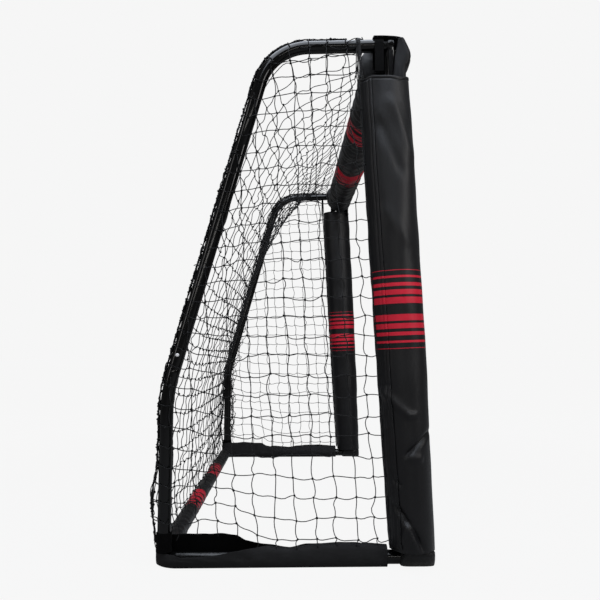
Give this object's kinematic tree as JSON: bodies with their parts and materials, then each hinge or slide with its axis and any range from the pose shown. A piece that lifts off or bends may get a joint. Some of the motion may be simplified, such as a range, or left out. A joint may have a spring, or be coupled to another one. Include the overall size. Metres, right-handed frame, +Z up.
{
  "type": "soccer goal",
  "caption": "Small soccer goal with a push-together tube frame, loose fabric sleeves on the mouth, corner hoods and a square-mesh net on the sides, top and back.",
  "frame": {"origin": "ground level, centre of the footprint", "axes": "+X across the goal, to the right when it is seen from the mouth, +Y from the mouth to the back net, +Z up"},
  "size_m": [1.268, 0.5452, 1.0673],
  "materials": {
    "tube_paint": "glossy black powder coat",
    "hardware": "zinc plated",
    "sleeve_cloth": "smooth woven polyester with a slight sheen",
    "hem_cloth": "matte webbing and hem cloth",
    "net_cord": "matte knotted cord"
  },
  "bodies": {
    "goal": {"post_socket_left": "tube_paint", "post_socket_right": "tube_paint", "post_tube_lower_left": "tube_paint", "post_tube_lower_right": "tube_paint", "post_tube_upper_left": "tube_paint", "post_tube_upper_right": "tube_paint", "corner_joint_left": "tube_paint", "corner_joint_right": "tube_paint", "corner_bolt_left": "hardware", "corner_bolt_right": "hardware", "top_tube_left": "tube_paint", "top_tube_right": "tube_paint", "stay_tube_left": "tube_paint", "stay_tube_right": "tube_paint", "lower_stay_tube_left": "tube_paint", "lower_stay_tube_right": "tube_paint", "stay_socket_left": "tube_paint", "stay_socket_right": "tube_paint", "button_spring_left": "hardware", "button_spring_right": "hardware", "base_tube_left": "tube_paint", "base_tube_right": "tube_paint", "post_sleeve_left": "sleeve_cloth", "post_sleeve_right": "sleeve_cloth", "post_closure_left": "sleeve_cloth", "post_closure_right": "sleeve_cloth", "corner_hood_left": "sleeve_cloth", "corner_hood_right": "sleeve_cloth", "corner_tab_left": "hem_cloth", "corner_tab_right": "hem_cloth", "foot_boot_left": "sleeve_cloth", "foot_boot_right": "sleeve_cloth", "base_hem_left": "hem_cloth", "base_hem_right": "hem_cloth", "stay_cuff_left": "hem_cloth", "stay_cuff_right": "hem_cloth", "side_net_left": "net_cord", "side_net_right": "net_cord", "net_tie_left": "net_cord", "net_tie_right": "net_cord", "crossbar_tube_left": "tube_paint", "crossbar_tube_right": "tube_paint", "rear_bar_tube_left": "tube_paint", "rear_bar_tube_right": "tube_paint", "crossbar_sleeve": "sleeve_cloth", "rear_sleeve": "sleeve_cloth", "top_net": "net_cord", "back_net": "net_cord", "lower_back_net": "net_cord"},
    "button_left": {"snap_button_left": "hardware"},
    "button_right": {"snap_button_right": "hardware"}
  },
  "joints": [
    {"name": "button_press_left", "type": "slide", "parent": "goal", "child": "button_left", "axis": [1, 0, 0], "range_m": [0, 0.0042], "stiffness_N_per_m": 1500, "deforming": ["button_spring_left"]},
    {"name": "button_press_right", "type": "slide", "parent": "goal", "child": "button_right", "axis": [-1, 0, 0], "range_m": [0, 0.0042], "stiffness_N_per_m": 1500, "deforming": ["button_spring_right"]}
  ]
}
